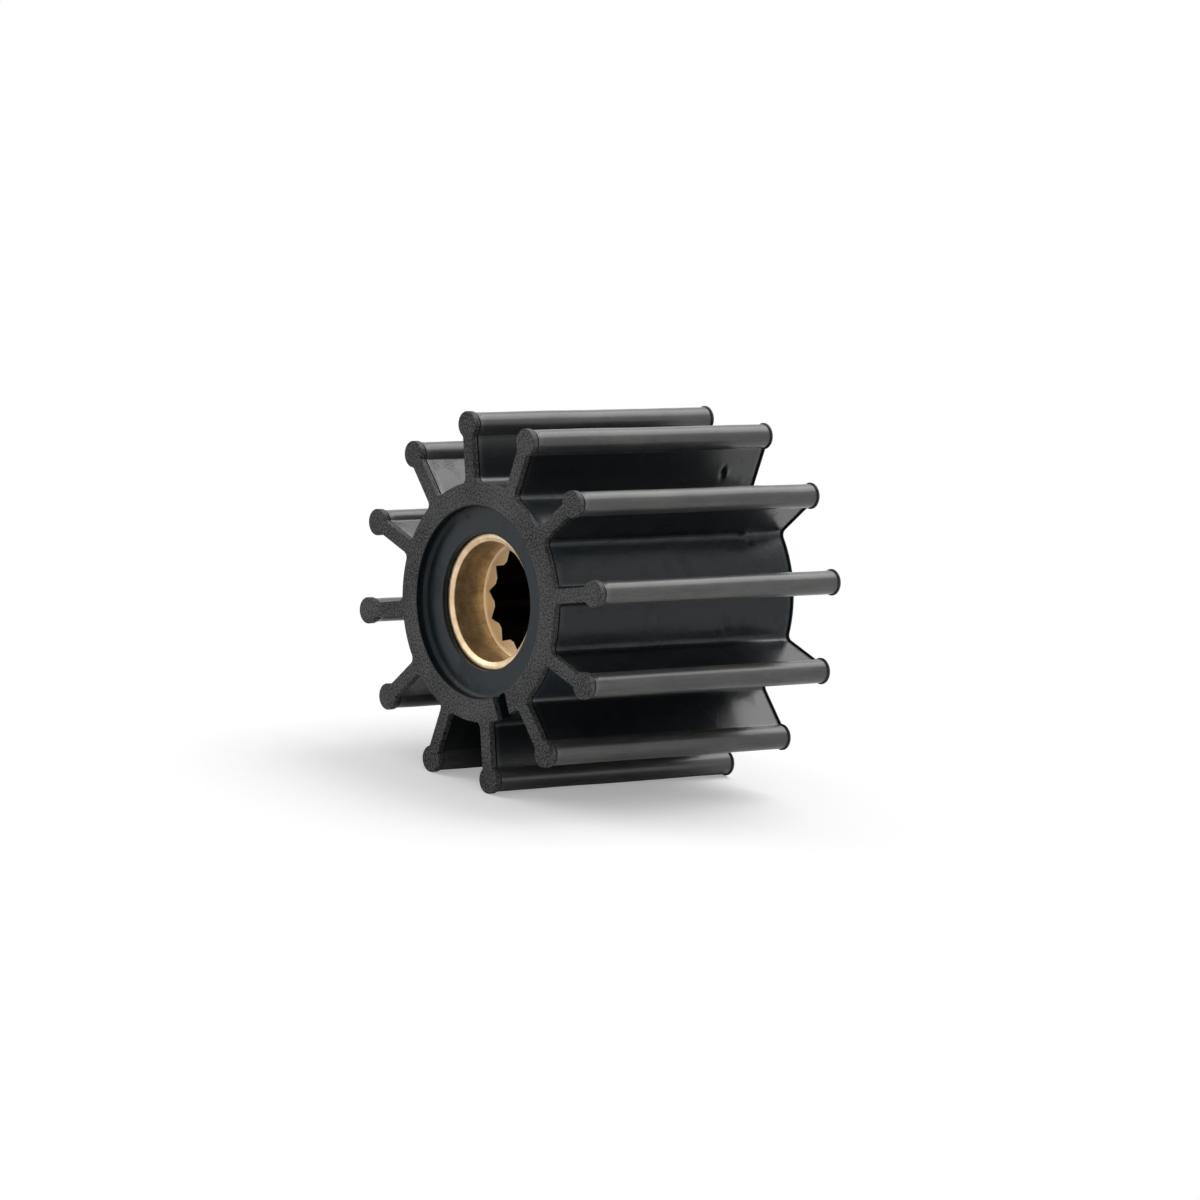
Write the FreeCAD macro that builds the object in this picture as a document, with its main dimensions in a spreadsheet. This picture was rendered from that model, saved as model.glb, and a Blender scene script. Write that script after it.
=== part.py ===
import FreeCAD, Part
import os
import Sketcher

# A flexible pump impeller: twelve straight rubber vanes moulded in one piece with
# their hub, round a bronze bush that is splined for the pump shaft.
# Lengths are in millimetres. The axis is +Y, and the recessed face that shows the
# bush looks along -Y. The impeller lies on two vane tips, with +Z upwards.

driving_sizes = {
    "vane_count": 12,
    "first_vane_angle": 15,
    "tip_diameter": 65,
    "face_width": 54,
    # Hub of the rubber body, and the step by which both ends stand proud of the rest.
    "hub_radius": 20.2,
    "end_step": 0.2,
    "collar_depth": 1.1,
    "lip_depth": 0.35,
    # One vane: a flat web with a round bead on its tip and a slanted root at the hub.
    "web_thickness": 2.1,
    "bead_radius": 2.05,
    "bead_swell": 0.25,
    "root_width": 6.6,
    "root_foot": 19.6,
    "root_top": 22,
    # Round recess in each end of the hub, with the bush set a little deeper.
    "recess_radius": 16.45,
    "recess_depth": 1.9,
    "recess_bevel": 0.55,
    "throat_radius": 11.75,
    "bush_inset": 2.95,
    # Slot through the rim of the hub at the recessed face.
    "slot_width": 3.3,
    "slot_depth": 3,
    "slot_angle": 300,
    # Bronze bush.
    "bush_radius": 11.55,
    "rim_radius": 10.95,
    "counterbore_radius": 10.25,
    "rim_chamfer": 0.4,
    "rim_edge": 0.12,
    "counterbore_end": 10,
    # Internal spline: wide teeth between V-shaped grooves.
    "spline_teeth": 12,
    "spline_angle": 2.4,
    "spline_bore_radius": 7.7,
    "spline_root_radius": 9.15,
    "groove_opening": 3.1,
    "spline_lead": 1.2,
}

doc = FreeCAD.newDocument("impeller")


def fill_sheet():
    """Write each driving size into its own named cell."""
    sheet = doc.addObject("Spreadsheet::Sheet", "sizes")
    for row, (name, value) in enumerate(driving_sizes.items(), start=1):
        sheet.set(f"A{row}", name)
        sheet.set(f"B{row}", str(value))
        sheet.setAlias(f"B{row}", name)
    doc.recompute()
    return sheet


def origin_feature(body, role):
    for feature in body.Origin.OriginFeatures:
        if feature.Role == role:
            return feature
    raise ValueError(role)


def new_sketch(body, name, plane, offset=None, turn=None):
    """Add a sketch on an origin plane, moved along and turned about the plane's normal."""
    sketch = body.newObject("Sketcher::SketchObject", name)
    sketch.AttachmentSupport = [(origin_feature(body, plane), "")]
    sketch.MapMode = "FlatFace"
    if turn:
        sketch.AttachmentOffset = FreeCAD.Placement(FreeCAD.Vector(), FreeCAD.Rotation(FreeCAD.Vector(0, 0, 1), 1))
        sketch.setExpression("AttachmentOffset.Rotation.Angle", turn)
    if offset:
        sketch.setExpression("AttachmentOffset.Base.z", offset)
    return sketch


def bind(sketch, kind, places, rule):
    """Add a dimension to the sketch and bind it to a rule on the sheet's cells."""
    index = sketch.addConstraint(Sketcher.Constraint(kind, *places, float(sketch.evalExpression(rule))))
    sketch.setExpression(f"Constraints[{index}]", rule)


def pin_corner(sketch, line, x_rule, y_rule):
    """Hold the start of a line at its place, measured from the sketch's origin."""
    if x_rule == "0":
        sketch.addConstraint(Sketcher.Constraint("PointOnObject", line, 1, -2))
    else:
        bind(sketch, "DistanceX", (-1, 1, line, 1), x_rule)
    bind(sketch, "DistanceY", (-1, 1, line, 1), y_rule)


def draw_polygon(sketch, rules):
    """Close straight lines through corners, each given by a rule for x and one for y."""
    corners = []
    for x_rule, y_rule in rules:
        corners.append(FreeCAD.Vector(float(sketch.evalExpression(x_rule)), float(sketch.evalExpression(y_rule)), 0))
    count = len(corners)
    for line, corner in enumerate(corners):
        sketch.addGeometry(Part.LineSegment(corner, corners[(line + 1) % count]), False)
    for line, (x_rule, y_rule) in enumerate(rules):
        sketch.addConstraint(Sketcher.Constraint("Coincident", line, 2, (line + 1) % count, 1))
        pin_corner(sketch, line, x_rule, y_rule)


def draw_circle(sketch, radius_rule):
    circle = Part.Circle(FreeCAD.Vector(), FreeCAD.Vector(0, 0, 1), float(sketch.evalExpression(radius_rule)))
    sketch.addGeometry(circle, False)
    sketch.addConstraint(Sketcher.Constraint("Coincident", 0, 3, -1, 1))
    bind(sketch, "Radius", (0,), radius_rule)


def draw_vane(sketch, swell):
    """Outline of one vane: foot, slanted root, flat flanks, and the bead as an arc."""
    half_web = f"sizes.web_thickness / 2 + {swell}"
    half_foot = f"sizes.root_width / 2 + {swell}"
    bead = f"sizes.bead_radius + {swell} * sizes.bead_swell / sizes.end_step"
    centre = "sizes.tip_diameter / 2 - sizes.bead_radius - sizes.bead_swell"
    half_web_now = float(sketch.evalExpression(half_web))
    half_foot_now = float(sketch.evalExpression(half_foot))
    bead_now = float(sketch.evalExpression(bead))
    centre_now = float(sketch.evalExpression(centre))
    foot = driving_sizes["root_foot"]
    top = driving_sizes["root_top"]
    neck = centre_now - (bead_now ** 2 - half_web_now ** 2) ** 0.5

    path = [(-half_foot_now, foot), (half_foot_now, foot), (half_web_now, top), (half_web_now, neck)]
    path += [(-half_web_now, neck), (-half_web_now, top)]
    points = [FreeCAD.Vector(x, y, 0) for x, y in path]
    crown = FreeCAD.Vector(0, centre_now + bead_now, 0)
    foot_line, right_root, right_flank, arc, left_flank, left_root = range(6)
    for line in (foot_line, right_root, right_flank):
        sketch.addGeometry(Part.LineSegment(points[line], points[line + 1]), False)
    sketch.addGeometry(Part.Arc(points[3], crown, points[4]), False)
    sketch.addGeometry(Part.LineSegment(points[4], points[5]), False)
    sketch.addGeometry(Part.LineSegment(points[5], points[0]), False)

    join = [(foot_line, 2, right_root, 1), (right_root, 2, right_flank, 1), (right_flank, 2, arc, 1)]
    join += [(arc, 2, left_flank, 1), (left_flank, 2, left_root, 1), (left_root, 2, foot_line, 1)]
    for ends in join:
        sketch.addConstraint(Sketcher.Constraint("Coincident", *ends))
    sketch.addConstraint(Sketcher.Constraint("Vertical", right_flank))
    sketch.addConstraint(Sketcher.Constraint("Symmetric", foot_line, 1, foot_line, 2, -2))
    sketch.addConstraint(Sketcher.Constraint("Symmetric", right_flank, 1, left_flank, 2, -2))
    sketch.addConstraint(Sketcher.Constraint("Symmetric", right_flank, 2, left_flank, 1, -2))
    bind(sketch, "DistanceX", (-1, 1, foot_line, 2), half_foot)
    bind(sketch, "DistanceY", (-1, 1, foot_line, 2), "sizes.root_foot")
    bind(sketch, "DistanceX", (-1, 1, right_flank, 1), half_web)
    bind(sketch, "DistanceY", (-1, 1, right_flank, 1), "sizes.root_top")
    bind(sketch, "DistanceY", (-1, 1, arc, 3), centre)
    bind(sketch, "Radius", (arc,), bead)


def pad(body, sketch, length_rule, midplane=False, backwards=False):
    feature = body.newObject("PartDesign::Pad", sketch.Name.replace("outline", "pad"))
    feature.Profile = sketch
    feature.Midplane = midplane
    feature.Reversed = backwards
    feature.setExpression("Length", length_rule)
    return feature


def repeat_round_axis(body, name, features, count_rule):
    """Repeat features in equal steps round the shaft axis."""
    pattern = body.newObject("PartDesign::PolarPattern", name)
    pattern.Originals = features
    pattern.Axis = (origin_feature(body, "Y_Axis"), [""])
    pattern.Angle = 360
    pattern.setExpression("Occurrences", count_rule)
    body.Tip = pattern
    doc.recompute()
    return pattern


def circle_edges(shape, radius, station):
    """Names of the round edges of this radius about the axis at this place along it."""
    names = []
    for number, edge in enumerate(shape.Edges, start=1):
        curve = edge.Curve
        if not isinstance(curve, Part.Circle) or abs(curve.Radius - radius) > 0.01:
            continue
        if abs(curve.Center.y - station) < 0.01 and abs(curve.Center.x) + abs(curve.Center.z) < 0.01:
            names.append(f"Edge{number}")
    return names


def build_rubber():
    """Hub and vanes moulded as one, with a proud collar in front and a thin lip behind."""
    body = doc.addObject("PartDesign::Body", "rubber_impeller")
    body.Label = "rubber_impeller"
    front = "sizes.face_width / 2"
    back = "-sizes.face_width / 2"
    turn = "sizes.first_vane_angle"
    step = "sizes.end_step"

    hub = new_sketch(body, "hub_outline", "XZ_Plane")
    draw_circle(hub, "sizes.hub_radius")
    pad(body, hub, "sizes.face_width", midplane=True)

    collar = new_sketch(body, "collar_outline", "XZ_Plane", offset=front)
    draw_circle(collar, "sizes.hub_radius + sizes.end_step")
    pad(body, collar, "sizes.collar_depth", backwards=True)

    lip = new_sketch(body, "lip_outline", "XZ_Plane", offset=back)
    draw_circle(lip, "sizes.hub_radius + sizes.end_step")
    pad(body, lip, "sizes.lip_depth")

    vane = new_sketch(body, "vane_outline", "XZ_Plane", turn=turn)
    draw_vane(vane, "0")
    vane_pad = pad(body, vane, "sizes.face_width", midplane=True)

    collar_vane = new_sketch(body, "collar_vane_outline", "XZ_Plane", offset=front, turn=turn)
    draw_vane(collar_vane, step)
    collar_vane_pad = pad(body, collar_vane, "sizes.collar_depth", backwards=True)

    lip_vane = new_sketch(body, "lip_vane_outline", "XZ_Plane", offset=back, turn=turn)
    draw_vane(lip_vane, step)
    lip_vane_pad = pad(body, lip_vane, "sizes.lip_depth")

    vane_pads = [vane_pad, collar_vane_pad, lip_vane_pad]
    repeat_round_axis(body, "vane_ring", vane_pads, "sizes.vane_count")

    # Half section of what is hollow: both recesses, their throats and the bush's seat.
    overrun = "(sizes.face_width / 2 + 1)"
    floor = "(sizes.face_width / 2 - sizes.recess_depth)"
    bush_end = "(sizes.face_width / 2 - sizes.bush_inset)"
    front_half = [
        ("0", f"-{overrun}"),
        ("sizes.recess_radius", f"-{overrun}"),
        ("sizes.recess_radius", f"-{floor}"),
        ("sizes.throat_radius", f"-{floor}"),
        ("sizes.throat_radius", f"-{bush_end}"),
        ("sizes.bush_radius", f"-{bush_end}"),
    ]
    back_half = [(radius, station[1:]) for radius, station in reversed(front_half)]
    hollow = new_sketch(body, "hollow_section", "XY_Plane")
    draw_polygon(hollow, front_half + back_half)
    groove = body.newObject("PartDesign::Groove", "hollow")
    groove.Profile = hollow
    groove.ReferenceAxis = (hollow, ["V_Axis"])
    groove.Angle = 360
    doc.recompute()

    recess_floor = driving_sizes["face_width"] / 2 - driving_sizes["recess_depth"]
    corners = []
    for station in (-recess_floor, recess_floor):
        corners += circle_edges(groove.Shape, driving_sizes["recess_radius"], station)
    bevel = body.newObject("PartDesign::Chamfer", "recess_bevels")
    bevel.Base = (groove, corners)
    bevel.setExpression("Size", "sizes.recess_bevel")
    doc.recompute()

    slot = new_sketch(body, "slot_section", "XZ_Plane", offset=front, turn="sizes.slot_angle - 90")
    half_slot = "sizes.slot_width / 2"
    near = "sizes.recess_radius - sizes.recess_bevel"
    far = "sizes.hub_radius + 2 * sizes.end_step"
    slot_corners = [(f"-{half_slot}", near), (half_slot, near), (half_slot, far), (f"-{half_slot}", far)]
    draw_polygon(slot, slot_corners)
    cut = body.newObject("PartDesign::Pocket", "rim_slot")
    cut.Profile = slot
    cut.setExpression("Length", "sizes.slot_depth")
    doc.recompute()
    return body


def build_bush():
    """Turned bronze bush with a smooth counterbore in front and a splined bore behind."""
    body = doc.addObject("PartDesign::Body", "splined_bush")
    body.Label = "splined_bush"
    end = "(sizes.face_width / 2 - sizes.bush_inset)"
    bottom = "(sizes.face_width / 2 - sizes.counterbore_end)"
    lead = "sizes.spline_bore_radius + sizes.spline_lead"
    turned = new_sketch(body, "turned_section", "XY_Plane")
    draw_polygon(turned, [
        ("sizes.bush_radius", f"-{end} + sizes.rim_edge"),
        ("sizes.bush_radius - sizes.rim_edge", f"-{end}"),
        ("sizes.rim_radius", f"-{end}"),
        ("sizes.counterbore_radius", f"-{end} + sizes.rim_chamfer"),
        ("sizes.counterbore_radius", f"-{bottom}"),
        ("sizes.spline_bore_radius", f"-{bottom}"),
        ("sizes.spline_bore_radius", f"{end} - sizes.spline_lead"),
        (lead, end),
        ("sizes.bush_radius - sizes.rim_edge", end),
        ("sizes.bush_radius", f"{end} - sizes.rim_edge"),
    ])
    revolve = body.newObject("PartDesign::Revolution", "turned")
    revolve.Profile = turned
    revolve.ReferenceAxis = (turned, ["V_Axis"])
    revolve.Angle = 360
    doc.recompute()

    # One V groove, cut from the counterbore's floor to the back end of the bush.
    groove = new_sketch(body, "groove_section", "XZ_Plane", offset=bottom, turn="sizes.spline_angle")
    half_mouth = "sizes.groove_opening / 2"
    inside = "(sizes.spline_bore_radius * 0.9)"
    mouth = "sizes.spline_bore_radius * 0.98"
    draw_polygon(groove, [
        (f"-{half_mouth}", inside),
        (half_mouth, inside),
        (half_mouth, mouth),
        ("0", "sizes.spline_root_radius"),
        (f"-{half_mouth}", mouth),
    ])
    cut = body.newObject("PartDesign::Pocket", "spline_groove")
    cut.Profile = groove
    cut.setExpression("Length", f"{bottom} + {end} + 1")
    repeat_round_axis(body, "spline_ring", [cut], "sizes.spline_teeth")
    return body


def check_document():
    """Stop if any object failed, or if a sub-part isn't one sound solid."""
    for item in doc.Objects:
        faults = [word for word in item.State if word in ("Invalid", "Error")]
        if faults:
            raise RuntimeError(f"{item.Name}: {faults}")
    for body in bodies:
        shape = body.Shape
        if shape.isNull() or not shape.isValid() or len(shape.Solids) != 1:
            raise RuntimeError(f"{body.Label} is not one sound solid")
        size = shape.BoundBox
        print(body.Label, "volume", round(shape.Volume), "size", round(size.XLength, 3),
              round(size.YLength, 3), round(size.ZLength, 3), "faces", len(shape.Faces))


fill_sheet()
bodies = [build_rubber(), build_bush()]
doc.recompute()
check_document()

os.makedirs("parts", exist_ok=True)
for body in bodies:
    body.Shape.exportStep(f"parts/{body.Label}.step")
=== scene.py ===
import math

import bmesh
import bpy
import numpy as np
from mathutils import Matrix, Vector


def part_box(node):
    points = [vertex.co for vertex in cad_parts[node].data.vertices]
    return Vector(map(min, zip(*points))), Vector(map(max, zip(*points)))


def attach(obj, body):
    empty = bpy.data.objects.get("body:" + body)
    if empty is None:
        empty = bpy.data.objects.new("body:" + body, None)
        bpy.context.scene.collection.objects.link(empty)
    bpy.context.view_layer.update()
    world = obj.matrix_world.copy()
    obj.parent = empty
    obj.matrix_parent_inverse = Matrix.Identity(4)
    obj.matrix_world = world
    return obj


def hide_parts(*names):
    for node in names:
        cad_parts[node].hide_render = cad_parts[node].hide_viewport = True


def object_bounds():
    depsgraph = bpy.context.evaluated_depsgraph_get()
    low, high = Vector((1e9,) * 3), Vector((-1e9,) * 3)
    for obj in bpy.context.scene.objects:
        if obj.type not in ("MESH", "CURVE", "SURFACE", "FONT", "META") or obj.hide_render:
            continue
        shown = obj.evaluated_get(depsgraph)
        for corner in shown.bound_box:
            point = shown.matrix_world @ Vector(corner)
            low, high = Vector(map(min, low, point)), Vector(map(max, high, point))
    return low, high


# A rubber pump impeller lying on two vane tips. Shapes are worked out in millimetres
# and put into metres at the end. The shaft axis is +Y, and the recessed face looks along -Y.

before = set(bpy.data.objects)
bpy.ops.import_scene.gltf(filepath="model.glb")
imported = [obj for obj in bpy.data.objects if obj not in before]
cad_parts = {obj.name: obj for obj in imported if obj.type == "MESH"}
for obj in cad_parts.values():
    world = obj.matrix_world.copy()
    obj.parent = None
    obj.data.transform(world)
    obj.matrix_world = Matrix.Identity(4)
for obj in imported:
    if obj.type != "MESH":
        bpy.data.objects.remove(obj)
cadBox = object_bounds()
print("frame loaded")

mm = 0.001
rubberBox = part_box("rubber_impeller")
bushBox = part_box("splined_bush")
frontY = rubberBox[0][1] / mm  # the recessed end
backY = rubberBox[1][1] / mm
bushFrontY = bushBox[0][1] / mm
bushBackY = bushBox[1][1] / mm
bushRadius = bushBox[1][0] / mm

scene = bpy.context.scene
scene.view_settings.view_transform = "Standard"


class Wire:
    # one socket of a material; the usual operators on it add Math nodes

    def __init__(self, tree, socket):
        self.tree = tree
        self.socket = socket

    def math(self, operation, first, second=None):
        inputs = {0: first} if second is None else {0: first, 1: second}
        return makeNode(self.tree, "ShaderNodeMath", {"operation": operation}, inputs)

    def __add__(self, other):
        return self.math("ADD", self, other)

    def __radd__(self, other):
        return self.math("ADD", other, self)

    def __sub__(self, other):
        return self.math("SUBTRACT", self, other)

    def __rsub__(self, other):
        return self.math("SUBTRACT", other, self)

    def __mul__(self, other):
        return self.math("MULTIPLY", self, other)

    def __rmul__(self, other):
        return self.math("MULTIPLY", other, self)

    def __truediv__(self, other):
        return self.math("DIVIDE", self, other)

    def __rtruediv__(self, other):
        return self.math("DIVIDE", other, self)

    def __pow__(self, other):
        return self.math("POWER", self, other)

    def sine(self):
        return self.math("SINE", self)

    def clamped(self):
        return makeNode(self.tree, "ShaderNodeClamp", {}, {"Value": self})

    def step(self, low, high):
        # 0 below low, 1 above high, a smooth ramp between
        settings = {"interpolation_type": "SMOOTHSTEP"}
        inputs = {"Value": self, "From Min": low, "From Max": high}
        return makeNode(self.tree, "ShaderNodeMapRange", settings, inputs)

    def past(self, low, high):
        # the same step between two places given in millimetres
        return self.step(low * mm, high * mm)


def makeNode(tree, kind, settings, inputs, output=0):
    # settings first, then each input as a value or a link; gives back one output
    node = tree.nodes.new(kind)
    for name, value in settings.items():
        setattr(node, name, value)
    for name, value in inputs.items():
        socket = node.inputs[name]
        if isinstance(value, Wire):
            tree.links.new(value.socket, socket)
        else:
            socket.default_value = value
    return Wire(tree, node.outputs[output]) if node.outputs else None


def newMaterial(name):
    material = bpy.data.materials.new(name)
    material.use_nodes = True
    tree = material.node_tree
    tree.nodes.clear()
    return material, tree


def finishMaterial(tree, inputs):
    shader = makeNode(tree, "ShaderNodeBsdfPrincipled", {}, inputs)
    makeNode(tree, "ShaderNodeOutputMaterial", {}, {"Surface": shader})


def noise(tree, place, scale, detail=3.0, roughness=0.55):
    inputs = {"Vector": place, "Scale": scale, "Detail": detail, "Roughness": roughness}
    return makeNode(tree, "ShaderNodeTexNoise", {}, inputs)


def mixColour(tree, amount, first, second):
    # inputs 6 and 7 and output 2 are the colour ones of this node
    inputs = {0: amount, 6: first, 7: second}
    return makeNode(tree, "ShaderNodeMix", {"data_type": "RGBA"}, inputs, output=2)


def bump(tree, height, distance, strength, under=None):
    inputs = {"Height": height, "Distance": distance, "Strength": strength}
    if under is not None:
        inputs["Normal"] = under
    return makeNode(tree, "ShaderNodeBump", {}, inputs)


def placeParts(tree):
    # a point's place on the object, its place along the axis and its distance from the axis
    place = makeNode(tree, "ShaderNodeTexCoord", {}, {}, output="Object")
    x, y, z = [makeNode(tree, "ShaderNodeSeparateXYZ", {}, {0: place}, output=name) for name in "XYZ"]
    return place, y, (x * x + z * z) ** 0.5


rubberLook = {
    "skin": (0.003, 0.005, 0.007, 1),
    "skinDusty": (0.007, 0.010, 0.012, 1),
    "hub": (0.005, 0.012, 0.017, 1),
    "bar": (0.095, 0.091, 0.083, 1),
    "barDark": (0.052, 0.053, 0.054, 1),
    "grain": (0.135, 0.135, 0.134, 1),
    # the darkest colour, for the speckle pits and for the painted shade on the recess wall
    "pitAndPaintedShade": (0.002, 0.002, 0.003, 1),
    "skinRoughness": 0.26,
    "groundRoughness": 0.62,
    "specular": 0.22,
    "film": 0.80,  # the thin release film that makes the moulded faces shine
    "hubFilm": 0.18,
    "filmRoughness": 0.27,
    "barFrom": 27.9,
    "barTo": 28.6,
    "cloudPerMetre": 90,
    "patchPerMetre": 230,
    "streakPerMetre": 520,
    "streakSquash": (1, 0.14, 1),
    "finePerMetre": 3600,
    "grainPerMetre": 3000,
    "skinBump": 0.00004,
    "gritBump": 0.00022,
}


def makeRubber():
    # moulded faces are near black and shiny with patches of fine speckle, the bars on the tips are worn
    # paler, and the ground end face with its collar is coarse and matt; the recess wall is painted
    # darker as painted shade
    look = rubberLook
    material, tree = newMaterial("mouldedRubber")
    place, along, radial = placeParts(tree)
    collarAt = frontY + hub["collarDepth"]
    rimAt = hub["recessRadius"]
    lipAt = backY - hub["lipDepth"]
    nearFace = 1 - along.past(collarAt - 0.04, collarAt + 0.02)
    nearFace = nearFace + along.past(lipAt + 0.1, backY - 0.02)
    onSide = along.past(frontY + 0.03, frontY + 0.12)
    ground = nearFace * radial.past(rimAt + 0.05, rimAt + 0.2) * (1 - 0.3 * onSide)
    # the recess wall just inside its rim is painted darker towards the pit colour and loses its film:
    # painted shade
    recessPaintedShade = radial.past(rimAt - 0.75, rimAt - 0.55) * (1 - radial.past(rimAt, rimAt + 0.1))
    onBar = radial.past(look["barFrom"], look["barTo"])
    onHub = 1 - radial.past(hub["radius"] + 0.08, hub["radius"] + 0.4)
    cloud = noise(tree, place, look["cloudPerMetre"], 4)
    squash = {0: place, 1: look["streakSquash"]}
    drawn = makeNode(tree, "ShaderNodeVectorMath", {"operation": "MULTIPLY"}, squash)
    streak = noise(tree, drawn, look["streakPerMetre"], 4, 0.7)
    patches = noise(tree, place, look["patchPerMetre"], 3).step(0.50, 0.64) * (1 - 0.8 * onBar)
    fine = noise(tree, place, look["finePerMetre"], 2, 0.6)
    coarse = noise(tree, place, look["grainPerMetre"], 3, 0.7)
    dots = patches * (1 - fine.step(0.44, 0.54))
    speckle = (0.8 * coarse + 0.2 * cloud).step(0.41, 0.59)
    smooth = mixColour(tree, cloud.step(0.35, 0.75), look["skin"], look["skinDusty"])
    smooth = mixColour(tree, onHub, smooth, look["hub"])
    bar = mixColour(tree, streak.step(0.38, 0.70), look["barDark"], look["bar"])
    worn = mixColour(tree, onBar * 0.9, smooth, bar)
    # the speckle patches darken as real pits; the recess wall darkens as painted shade
    worn = mixColour(tree, dots * 0.5 + recessPaintedShade * 0.3, worn, look["pitAndPaintedShade"])
    rough = mixColour(tree, speckle, look["pitAndPaintedShade"], look["grain"])
    colour = mixColour(tree, ground, worn, rough)
    shiny = look["skinRoughness"] + 0.10 * cloud + 0.12 * patches * fine + 0.12 * onBar
    roughness = shiny * (1 - ground) + look["groundRoughness"] * ground
    film = (look["film"] - (look["film"] - look["hubFilm"]) * onHub) * (1 - ground) * (1 - 0.6 * dots)
    skin = bump(tree, fine * (0.3 + 2.2 * patches), look["skinBump"], 0.7)
    grit = bump(tree, coarse * ground, look["gritBump"], 1.0, under=skin)
    finishMaterial(tree, {
        "Base Color": colour,
        "Roughness": roughness,
        "Normal": grit,
        "Specular IOR Level": look["specular"],
        "Coat Weight": film * (1 - recessPaintedShade),
        "Coat Roughness": look["filmRoughness"],
    })
    return material


bronzeLook = {
    "bright": (0.90, 0.70, 0.48, 1),
    "toothEnds": (1.0, 0.84, 0.62, 1),
    "tan": (0.72, 0.52, 0.32, 1),
    "wall": (0.40, 0.28, 0.15, 1),
    "wallPale": (0.62, 0.46, 0.28, 1),
    "stain": (0.16, 0.09, 0.05, 1),
    # the colour of the painted shade in the splined bore
    "dark": (0.030, 0.016, 0.010, 1),
    "roughness": 0.32,
    "mottlePerMetre": 420,
    "grainPerMetre": 2600,
    "wobblePerMetre": 60,
    "ringsPerMetre": 26000,  # in radians of the sine
    "ringBump": 0.000006,
    "grainBump": 0.00002,
}


def makeBronze():
    # turned bronze: pale rim and tooth ends, a browner speckled bore, and the broached
    # teeth painted near black as painted shade, fading out near their back ends
    look = bronzeLook
    material, tree = newMaterial("turnedBronze")
    place, along, radial = placeParts(tree)
    bottom = frontY + bush["counterboreDepth"]
    wallAt = bush["boreRadius"]
    front = 1 - along.past(bottom - 0.3, bottom - 0.15)
    onWall = front * (1 - radial.past(wallAt + 0.04, wallAt + 0.12))
    deep = along.past(bottom + 0.02, bottom + 0.25)
    # painted shade inside the splined bore, where little light reaches; it fades out near the back end
    paintedBoreShade = deep * (1 - along.past(bushBackY - 3, bushBackY - 0.8))
    mottle = noise(tree, place, look["mottlePerMetre"], 4, 0.65)
    grain = noise(tree, place, look["grainPerMetre"], 3, 0.7)
    wobble = noise(tree, place, look["wobblePerMetre"], 2)
    rings = (along * look["ringsPerMetre"] + wobble * 9).sine() * 0.5 + 0.5
    rim = mixColour(tree, mottle.step(0.35, 0.68), look["tan"], look["bright"])
    worn = (0.6 * mottle + 0.4 * grain).step(0.40, 0.64)
    wall = mixColour(tree, worn, look["wall"], look["wallPale"])
    warm = mixColour(tree, onWall, rim, wall)
    warm = mixColour(tree, (1 - front) * (1 - deep), warm, look["toothEnds"])
    stained = mixColour(tree, grain.step(0.62, 0.74) * 0.4, warm, look["stain"])
    colour = mixColour(tree, paintedBoreShade, stained, look["dark"])
    roughness = look["roughness"] + 0.14 * mottle + 0.08 * grain + 0.08 * onWall
    turned = bump(tree, rings, look["ringBump"], 0.5)
    rough = bump(tree, grain, look["grainBump"], 0.7, under=turned)
    finishMaterial(tree, {
        "Base Color": colour,
        "Metallic": 1.0,
        "Roughness": roughness,
        "Normal": rough,
    })
    return material


def addGrid(points, faces, rows, closed):
    # a grid of points in rows: each cell becomes one face, and a closed grid joins its
    # last column to the first
    count, width = rows.shape[:2]
    start = sum(len(block) for block in points)
    points.append(rows.reshape(-1, 3))
    row = np.arange(count - 1)[:, None]
    column = np.arange(width if closed else width - 1)[None, :]
    after = (column + 1) % width
    cells = np.stack(np.broadcast_arrays(
        start + row * width + column,
        start + row * width + after,
        start + (row + 1) * width + after,
        start + (row + 1) * width + column,
    ), axis=-1)
    faces.append(cells.reshape(-1, 4))


def makePiece(name, points, faces, material):
    # join the blocks, weld their shared edges and turn every face outwards
    mesh = bpy.data.meshes.new(name)
    mesh.from_pydata((np.concatenate(points) * mm).tolist(), [], np.concatenate(faces).tolist())
    work = bmesh.new()
    work.from_mesh(mesh)
    bmesh.ops.remove_doubles(work, verts=work.verts, dist=0.005 * mm)
    bmesh.ops.dissolve_degenerate(work, dist=0.0005 * mm, edges=work.edges)
    bmesh.ops.recalc_face_normals(work, faces=work.faces)
    work.to_mesh(mesh)
    work.free()
    mesh.materials.append(material)
    piece = bpy.data.objects.new(name, mesh)
    scene.collection.objects.link(piece)
    return piece


def shadeSmooth(piece, degrees):
    mesh = piece.data
    mesh.polygons.foreach_set("use_smooth", np.ones(len(mesh.polygons), dtype=bool))
    mesh.set_sharp_from_angle(angle=math.radians(degrees))


vane = {
    "count": 12,
    "firstAngle": 15.0,
    "webHalf": 1.05,
    "rootFillet": 1.25,
    "neckFillet": 0.6,
    "beadRadius": 2.05,
    "beadSwell": 0.25,
    "tipRadius": 32.5,
    "pointsOnHub": 8,
    "pointsOnRoot": 7,
    "pointsOnFlank": 11,
    "pointsOnNeck": 4,
    "pointsOnBead": 10,
}
hub = {
    "radius": 20.2,
    "endStep": 0.2,
    "collarDepth": 1.1,
    "lipDepth": 0.28,
    "edgeRound": 0.09,
    "recessRadius": 16.45,
    "recessDepth": 1.9,
    "recessBevel": 0.55,
    "throatRadius": 11.75,
    "bushInset": 2.95,
    "slotWidth": 3.3,
    "slotDepth": 3.0,
    "slotAngle": 300.0,
    "grooveDepth": 0.16,
    "lineHeight": 0.05,
    "lipHollow": 0.07,
    "evenStations": 22,
    "unevenness": 0.05,
    "unevenSeed": 3,
    "ladderRungs": 6,
    "sharpFrom": 32,
}
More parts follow.
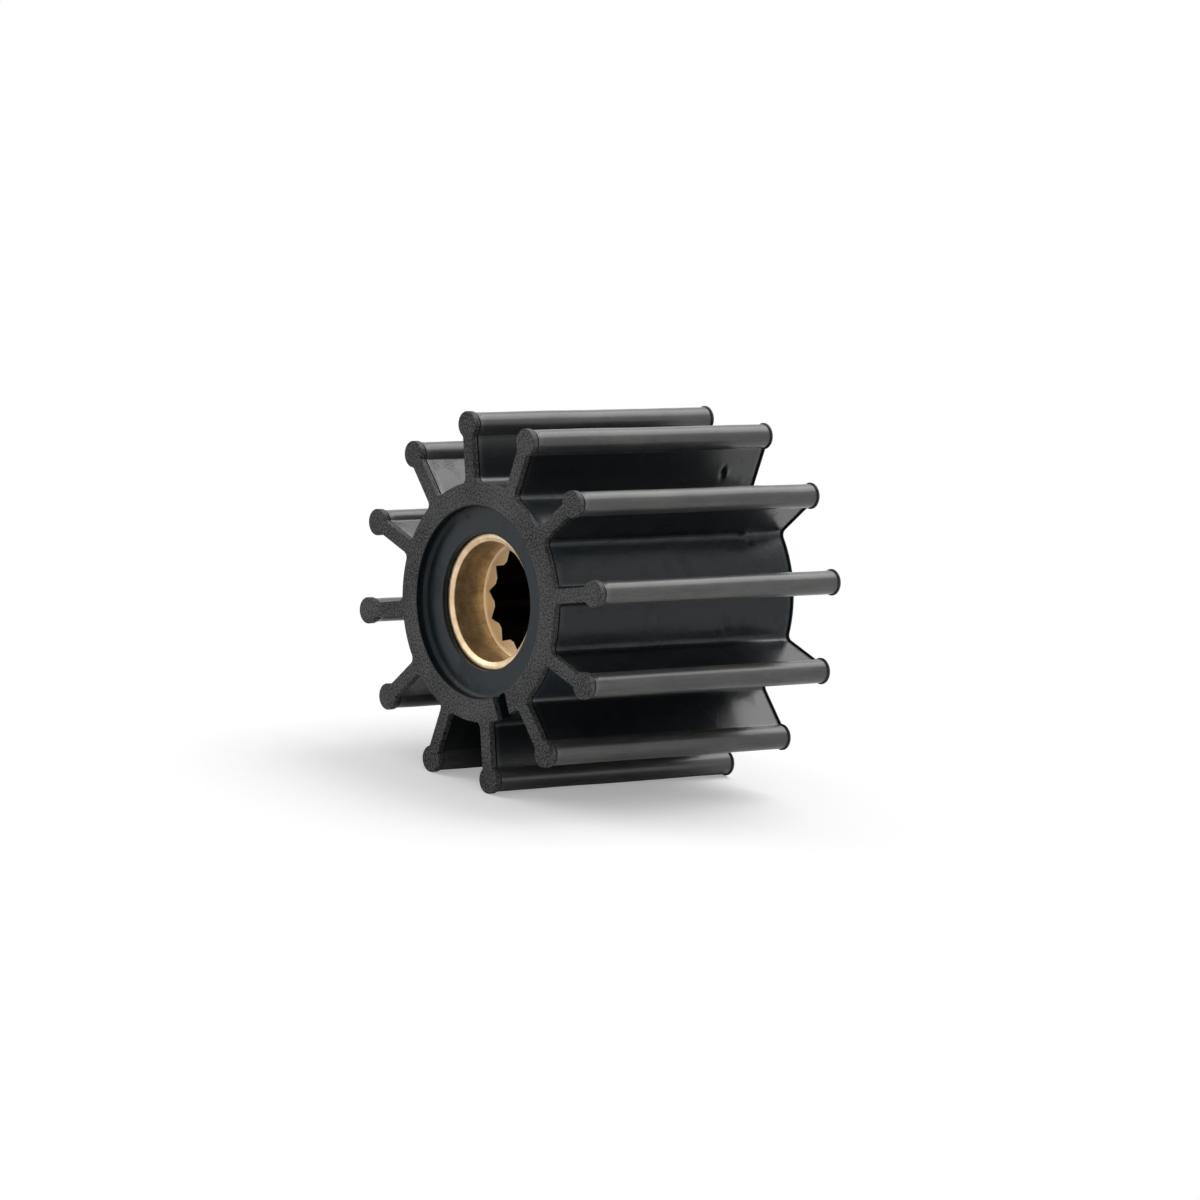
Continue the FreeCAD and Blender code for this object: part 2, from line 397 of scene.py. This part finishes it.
# small faults of the mould: place along the axis, angle, radius, height, length and width
flawStations = (-1.4, -0.8, -0.3, 0.2, 0.7, 1.3)  # where the skin is cut finer, in lengths
mouldFlaws = [
    (18.8, 72.6, 23.9, -0.35, 0.45, 0.7),
    (19.8, 72.6, 23.6, 0.25, 0.35, 0.6),
    (17.6, 41.4, 21.1, 0.30, 0.8, 0.6),
    (18.9, 38.0, 20.3, -0.22, 0.6, 0.5),
    (10.6, 355.0, 20.2, 0.16, 0.7, 0.35),
    (12.2, 353.2, 20.2, -0.14, 0.5, 0.4),
    (-4.0, 2.0, 20.2, -0.12, 0.4, 0.4),
]


def beadCentre():
    return vane["tipRadius"] - vane["beadRadius"] - vane["beadSwell"]


def halfVane():
    # right half of one vane and its share of the hub, from the middle of the gap to the
    # crown of the bead, as (across, outwards) pairs: hub arc, root fillet, flank, neck
    # fillet, bead arc. Each fillet is a circle that touches the flank and the round beside it
    v = vane
    radius = hub["radius"]
    web = v["webHalf"]
    root = v["rootFillet"]
    rootX = web + root
    rootY = math.sqrt((radius + root) ** 2 - rootX ** 2)
    footTurn = math.atan2(rootX, rootY)
    turn = np.linspace(math.pi / v["count"], footTurn, v["pointsOnHub"])
    arc = np.stack([radius * np.sin(turn), radius * np.cos(turn)], axis=1)
    swing = np.linspace(footTurn, math.pi / 2, v["pointsOnRoot"] + 1)[1:, None]
    circle = np.concatenate([np.sin(swing), np.cos(swing)], axis=1)
    foot = np.array([rootX, rootY]) - root * circle

    centre = beadCentre()
    neck = v["neckFillet"]
    reach = v["beadRadius"] + neck
    neckX = web + neck
    neckY = centre - math.sqrt(reach ** 2 - neckX ** 2)
    share = np.linspace(0, 1, v["pointsOnFlank"] + 1)[1:, None]
    flank = foot[-1] + (np.array([web, neckY]) - foot[-1]) * share
    tilt = math.atan2(centre - neckY, neckX)  # from the fillet's centre up to the bead's
    swing = np.linspace(0, tilt, v["pointsOnNeck"] + 1)[1:, None]
    circle = np.concatenate([-np.cos(swing), np.sin(swing)], axis=1)
    throat = np.array([neckX, neckY]) + neck * circle
    swing = np.linspace(math.pi / 2 + tilt, 0, v["pointsOnBead"] + 1)[1:, None]
    circle = np.concatenate([np.sin(swing), np.cos(swing)], axis=1)
    bead = np.array([0, centre]) + v["beadRadius"] * circle
    return np.concatenate([arc, foot, flank, throat, bead])


def outlineNormals(outline):
    # outward normals of a closed outline, from the chord between each point's neighbours
    chord = np.roll(outline, -1, axis=0) - np.roll(outline, 1, axis=0)
    normal = np.stack([chord[:, 1], -chord[:, 0]], axis=1)
    return normal / np.linalg.norm(normal, axis=1, keepdims=True)


def wholeOutline():
    # one vane is its right half and the mirror image; twelve turned copies close the outline
    right = halfVane()
    left = right[-2:0:-1] * np.array([-1.0, 1.0])
    single = np.concatenate([right, left])
    crown = len(right) - 1
    fromBead = np.hypot(single[:, 0], single[:, 1] - beadCentre())
    onBead = (fromBead < vane["beadRadius"] + 0.05).astype(float)
    rings = []
    for number in range(vane["count"]):
        turn = math.radians(vane["firstAngle"] + number * 360 / vane["count"])
        out = np.array([math.cos(turn), math.sin(turn)])
        across = np.array([math.sin(turn), -math.cos(turn)])
        rings.append(single[:, :1] * across + single[:, 1:] * out)
    outline = np.concatenate(rings)
    return outline, np.tile(onBead, vane["count"]), len(single), crown


def wave(along, around, size, seed):
    # slow unevenness of a moulding: a sum of sines along and around it with seeded phases
    rng = np.random.default_rng(seed)
    total = np.zeros(np.broadcast(along, around).shape)
    for step in range(5):
        pace = rng.uniform(0.12, 0.55) * (1 + step * 0.6)
        spin = rng.integers(5, 40)
        phase = rng.uniform(0, 2 * math.pi, 2)
        total += np.sin(along * pace + phase[0] + 2 * np.sin(around * spin + phase[1])) / (step + 1)
    return total * size / 2


def skinStations():
    # places along the axis and how far the skin stands out at each. In front come the
    # rounded edge, the collar, the groove behind it and a fine raised line; the back end
    # has a narrow lip with a hollow before it
    step = hub["endStep"]
    collar = hub["collarDepth"]
    groove = hub["grooveDepth"]
    line = hub["lineHeight"]
    lip = hub["lipDepth"]
    hollow = hub["lipHollow"]
    corner = [(0.0, step - hub["edgeRound"]), (0.02, step - hub["edgeRound"] * 0.4)]
    nearEnd = corner + [(0.09, step), (0.35, step), (0.7, step)]
    nearEnd += [(collar - 0.06, step), (collar, step - 0.05)]
    nearEnd += [(collar + 0.04, -groove), (collar + 0.26, -groove)]
    nearEnd += [(collar + 0.31, line), (collar + 0.52, line), (collar + 0.64, 0.0)]
    farEnd = [(lip + 0.3, 0.0), (lip + 0.18, -hollow), (lip + 0.04, -hollow)]
    farEnd += [(lip, step - 0.05), (lip - 0.06, step), (0.07, step)] + corner[::-1]
    even = np.linspace(frontY + collar + 1.6, backY - lip - 1.2, hub["evenStations"])
    close = [flaw[0] + shift * flaw[4] for flaw in mouldFlaws for shift in flawStations]
    middle = np.unique(np.concatenate([even, close]).round(3))
    front = [(frontY + depth, out) for depth, out in nearEnd]
    back = [(backY - depth, out) for depth, out in farEnd]
    return np.array(front + [(place, 0.0) for place in middle] + back).T


def makeRubberPiece(material):
    outline, onBead, perVane, crown = wholeOutline()
    normal = outlineNormals(outline)
    station, standOut = skinStations()
    points = []
    faces = []
    around = np.arctan2(outline[:, 1], outline[:, 0])
    away = np.clip(np.minimum(station - frontY - 1.6, backY - station - 0.5) / 3, 0, 1)
    uneven = wave(station[:, None], around[None, :], hub["unevenness"], hub["unevenSeed"])
    swell = 1 + onBead * (vane["beadSwell"] / hub["endStep"] - 1)
    offset = standOut[:, None] * swell[None, :] + uneven * away[:, None]
    for place, turn, radius, height, length, width in mouldFlaws:
        turn = math.radians(turn)
        middle = radius * np.array([math.cos(turn), math.sin(turn)])
        aside = np.linalg.norm(outline - middle, axis=1)
        swellOut = np.exp(-((station[:, None] - place) / length) ** 2 - (aside[None, :] / width) ** 2)
        offset = offset + height * swellOut
    x = outline[None, :, 0] + normal[None, :, 0] * offset
    z = outline[None, :, 1] + normal[None, :, 1] * offset
    y = np.broadcast_to(station[:, None], x.shape)
    side = np.stack([x, y, z], axis=-1)
    addGrid(points, faces, side, closed=True)

    for end, face in ((side[0], frontY), (side[-1], backY)):
        addEndFace(points, faces, end, face, perVane, crown)

    piece = makePiece("impellerRubber", points, faces, material)
    cutSlot(piece)
    return piece


def addEndFace(points, faces, rim, faceY, perVane, crown):
    # each vane's end is a ladder between its two flanks; the hub's ring runs to the recess
    hubPoints = vane["pointsOnHub"]
    share = np.linspace(0, 1, hub["ladderRungs"] + 1)[None, :, None]
    innerEdge = []
    for number in range(vane["count"]):
        ring = rim[number * perVane:(number + 1) * perVane]
        after = rim[((number + 1) * perVane) % len(rim)]
        right = ring[hubPoints - 1:crown]
        left = ring[perVane - hubPoints + 1:crown:-1]
        ladder = right[:, None, :] * (1 - share) + left[:, None, :] * share
        addGrid(points, faces, ladder, closed=False)
        top = ring[crown]
        last = np.stack([ladder[-1], np.broadcast_to(top, ladder[-1].shape)], axis=0)
        addGrid(points, faces, last, closed=False)
        innerEdge += ring[:hubPoints - 1].tolist()
        innerEdge += ladder[0].tolist()
        innerEdge += ring[perVane - hubPoints + 2:].tolist()
    boundary = np.array(innerEdge)
    turn = np.arctan2(boundary[:, 2], boundary[:, 0])
    circle = np.stack([np.cos(turn), np.zeros(len(turn)), np.sin(turn)], axis=1)
    inward = 1 if faceY < 0 else -1
    rise = np.array([0.0, 1.0, 0.0])
    outer = hub["recessRadius"]
    inner = hub["throatRadius"]
    floor = hub["recessDepth"]
    bevel = hub["recessBevel"]
    inset = hub["bushInset"]
    edge = circle * (outer + 0.08) + rise * faceY
    share = np.linspace(0, 1, 6)[:, None, None]
    ring = boundary[None] * (1 - share) + edge[None] * share
    # half section of the recess as radius and depth, down to the seat of the bush
    section = [(outer, 0.06), (outer, 0.5), (outer, floor - bevel)]
    section += [(outer - 0.06, floor - bevel + 0.1), (outer - bevel * 0.9, floor - 0.05)]
    section += [(outer - bevel - 0.15, floor)]
    section += [(radius, floor) for radius in np.linspace(outer - 1.2, inner + 0.35, 7)]
    section += [(inner + 0.08, floor), (inner, floor + 0.1), (inner, inset - 0.1), (inner - 0.02, inset)]
    section += [(bushRadius, inset + 0.02), (bushRadius, inset + 0.5)]
    rows = [circle * radius + rise * (faceY + inward * depth) for radius, depth in section]
    addGrid(points, faces, np.concatenate([ring, np.array(rows)]), closed=True)
    if faceY > 0:
        # the seat behind the bush joins the two ends, so the rubber stays one closed skin
        seat = [circle * bushRadius + rise * (faceY - inset - 0.5)]
        seat += [circle * bushRadius + rise * (frontY + inset + 0.5)]
        addGrid(points, faces, np.array(seat), closed=True)


def cutSlot(piece):
    # the slot through the front rim, cut with a block that is then thrown away
    turn = math.radians(hub["slotAngle"])
    out = np.array([math.cos(turn), 0, math.sin(turn)])
    across = np.array([-math.sin(turn), 0, math.cos(turn)])
    rise = np.array([0.0, 1.0, 0.0])
    half = hub["slotWidth"] / 2
    corners = []
    for reach in (hub["recessRadius"] - hub["recessBevel"], hub["radius"] + 1.2):
        for depth in (-1.0, hub["slotDepth"]):
            for side in (-half, half):
                corners.append(out * reach + across * side + rise * (frontY + depth))
    quads = [(0, 1, 3, 2), (4, 6, 7, 5), (0, 4, 5, 1), (2, 3, 7, 6), (0, 2, 6, 4), (1, 5, 7, 3)]
    mesh = bpy.data.meshes.new("slotBlock")
    mesh.from_pydata((np.array(corners) * mm).tolist(), [], quads)
    block = bpy.data.objects.new("slotBlock", mesh)
    scene.collection.objects.link(block)
    cut = piece.modifiers.new("rimSlot", "BOOLEAN")
    cut.operation = "DIFFERENCE"
    cut.solver = "EXACT"
    cut.object = block
    depsgraph = bpy.context.evaluated_depsgraph_get()
    result = bpy.data.meshes.new_from_object(piece.evaluated_get(depsgraph))
    piece.modifiers.clear()
    piece.data = result
    bpy.data.objects.remove(block)


bush = {
    "rimRadius": 10.95,
    "boreRadius": 10.25,
    "rimChamfer": 0.4,
    "edge": 0.12,
    "counterboreDepth": 10.0,
    "teeth": 12,
    "firstGroove": 92.4,
    "toothTip": 7.7,
    "grooveRoot": 9.15,
    "grooveHalfAngle": 11.25,
    "lead": 1.2,
    "stepsPerTooth": 48,
    "sharpFrom": 28,
}


def splineRadius(turn):
    # bore radius at each angle: the tooth tips lie on a circle, and each groove is two
    # straight flanks from the root to the tip circle, in polar form
    b = bush
    pitch = 2 * math.pi / b["teeth"]
    local = np.abs((turn - math.radians(b["firstGroove"]) + pitch / 2) % pitch - pitch / 2)
    edge = math.radians(b["grooveHalfAngle"])
    tipX = b["toothTip"] * math.cos(edge)
    tipY = b["toothTip"] * math.sin(edge)
    root = b["grooveRoot"]
    flank = root * tipY / (tipY * np.cos(local) + (root - tipX) * np.sin(local))
    return np.where(local < edge, flank, b["toothTip"])


def makeBushPiece(material):
    b = bush
    turn = np.linspace(0, 2 * math.pi, b["teeth"] * b["stepsPerTooth"], endpoint=False)
    turn += math.radians(b["firstGroove"])
    bore = splineRadius(turn)
    bottom = frontY + b["counterboreDepth"]
    front = bushFrontY
    back = bushBackY
    wall = b["boreRadius"]
    rim = b["rimRadius"]
    leadAt = back - b["lead"]
    # closed section of the bush, each row a radius round the axis and a place along it
    rows = [(bushRadius, front + 0.6), (bushRadius, front + b["edge"])]
    rows += [(bushRadius - 0.03, front + 0.03), (bushRadius - b["edge"], front)]
    rows += [(rim + 0.03, front), (rim - 0.03, front + 0.03)]
    rows += [(wall + 0.04, front + b["rimChamfer"] - 0.03)]
    rows += [(wall, front + b["rimChamfer"] + 0.04)]
    rows += [(wall, place) for place in np.linspace(front + 0.9, bottom - 0.5, 10)]
    rows += [(wall, bottom - 0.16), (wall - 0.05, bottom - 0.05), (wall - 0.16, bottom)]
    for share in (0.35, 0.7, 1.0):
        rows.append(((wall - 0.16) * (1 - share) + (bore + 0.03) * share, bottom))
    rows.append((bore, bottom + 0.03))
    rows += [(bore, place) for place in np.linspace(bottom + 1.5, leadAt - 0.1, 18)]
    for place in np.linspace(leadAt, back, 7):
        rows.append((np.maximum(bore, b["toothTip"] + place - leadAt), place))
    rows += [(bushRadius - b["edge"], back), (bushRadius, back - b["edge"])]
    rows += [(bushRadius, front + 0.6)]
    circle = np.stack([np.cos(turn), np.zeros(len(turn)), np.sin(turn)], axis=1)
    rise = np.array([0.0, 1.0, 0.0])
    grid = [circle * np.reshape(radius, (-1, 1)) + rise * place for radius, place in rows]
    points = []
    faces = []
    addGrid(points, faces, np.array(grid), closed=True)
    return makePiece("bronzeBush", points, faces, material)


rubber = makeRubber()
bronze = makeBronze()
print("materials made")

rubberPiece = makeRubberPiece(rubber)
shadeSmooth(rubberPiece, hub["sharpFrom"])
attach(rubberPiece, "root")
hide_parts("rubber_impeller")
print("rubber body made", len(rubberPiece.data.polygons))

bushPiece = makeBushPiece(bronze)
shadeSmooth(bushPiece, bush["sharpFrom"])
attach(bushPiece, "root")
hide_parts("splined_bush")
print("bush made", len(bushPiece.data.polygons))

studio = {
    "cameraAzimuth": 49.624,
    "cameraElevation": 3.382,
    "cameraDistance": 1.00024,
    "cameraShiftRight": 0.000256,
    "cameraShiftUp": -0.000626,
    "turnOnFloor": 9.776,  # the photographed one lies turned by this much about its axis
    "lens": 173.99,
    "sensor": 36,
    "worldLight": 0.42,
    "floorReach": 0.5,
    "floorPoints": 96,
    "floorTone": (0.93, 0.93, 0.93, 1),
    "floorLift": 0.31,  # what a camera ray sees of the floor is brought up to white
    "floorFades": (0.04, 0.12),
}
# name, place, size and power of each lamp
lamps = [
    ("softBack", (0.02, 0.42, 0.63), 0.7, 3.0),
    ("softLeft", (-0.5, -0.45, 0.45), 0.5, 1.2),
]


def makeCamera():
    s = studio
    azimuth = math.radians(s["cameraAzimuth"])
    elevation = math.radians(s["cameraElevation"])
    level = math.cos(elevation)
    back = Vector((math.sin(azimuth) * level, -math.cos(azimuth) * level, math.sin(elevation)))
    right = Vector((math.cos(azimuth), math.sin(azimuth), 0))
    up = back.cross(right)
    place = back * s["cameraDistance"] + right * s["cameraShiftRight"] + up * s["cameraShiftUp"]
    turn = Matrix.Rotation(math.radians(-s["turnOnFloor"]), 3, "Y")
    axes = [turn @ axis for axis in (right, up, back)]
    data = bpy.data.cameras.new("photoCamera")
    data.lens = s["lens"]
    data.sensor_width = s["sensor"]
    camera = bpy.data.objects.new("photoCamera", data)
    rotation = Matrix((axes[0], axes[1], axes[2])).transposed()
    camera.matrix_world = Matrix.Translation(turn @ place) @ rotation.to_4x4()
    scene.collection.objects.link(camera)
    scene.camera = camera


def makeFloor():
    # pale round floor that fades to clear at its rim, so the white world shows past it
    reach = studio["floorReach"]
    count = studio["floorPoints"]
    lowest = cadBox[0][2]
    turn = np.linspace(0, 2 * math.pi, count, endpoint=False)
    rim = np.stack([np.cos(turn) * reach, np.sin(turn) * reach, np.full(count, lowest)], axis=1)
    mesh = bpy.data.meshes.new("paleFloor")
    mesh.from_pydata(rim.tolist(), [], [tuple(range(count))])
    floor = bpy.data.objects.new("paleFloor", mesh)
    scene.collection.objects.link(floor)
    material, tree = newMaterial("paleFloor")
    place = makeNode(tree, "ShaderNodeTexCoord", {}, {}, output="Object")
    settings = {"operation": "LENGTH"}
    distance = makeNode(tree, "ShaderNodeVectorMath", settings, {0: place}, output="Value")
    fade = distance.step(*studio["floorFades"])
    seen = makeNode(tree, "ShaderNodeLightPath", {}, {}, output="Is Camera Ray")
    pale = makeNode(tree, "ShaderNodeBsdfDiffuse", {}, {"Color": studio["floorTone"]})
    lift = makeNode(tree, "ShaderNodeEmission", {}, {"Strength": seen * studio["floorLift"]})
    lifted = makeNode(tree, "ShaderNodeAddShader", {}, {0: pale, 1: lift})
    clear = makeNode(tree, "ShaderNodeBsdfTransparent", {}, {})
    mixed = makeNode(tree, "ShaderNodeMixShader", {}, {0: fade, 1: lifted, 2: clear})
    makeNode(tree, "ShaderNodeOutputMaterial", {}, {"Surface": mixed})
    mesh.materials.append(material)


def makeWorld():
    # white for what the camera and reflections see, plainer for the light on surfaces
    world = bpy.data.worlds.new("studioWorld")
    scene.world = world
    world.use_nodes = True
    tree = world.node_tree
    tree.nodes.clear()
    kinds = ("Is Camera Ray", "Is Glossy Ray", "Is Transmission Ray")
    rays = [makeNode(tree, "ShaderNodeLightPath", {}, {}, output=kind) for kind in kinds]
    seen = (rays[0] + rays[1] + rays[2]).clamped()
    strength = seen * (1 - studio["worldLight"]) + studio["worldLight"]
    inputs = {"Color": (1, 1, 1, 1), "Strength": strength}
    light = makeNode(tree, "ShaderNodeBackground", {}, inputs)
    makeNode(tree, "ShaderNodeOutputWorld", {}, {"Surface": light})


def makeLamp(name, place, size, power):
    data = bpy.data.lights.new(name, "AREA")
    data.shape = "DISK"
    data.size = size
    data.energy = power
    lamp = bpy.data.objects.new(name, data)
    lamp.location = place
    lamp.rotation_euler = Vector(place).to_track_quat("Z", "Y").to_euler()
    scene.collection.objects.link(lamp)


makeCamera()
makeFloor()
makeWorld()
for name, place, size, power in lamps:
    makeLamp(name, place, size, power)
print("studio made")
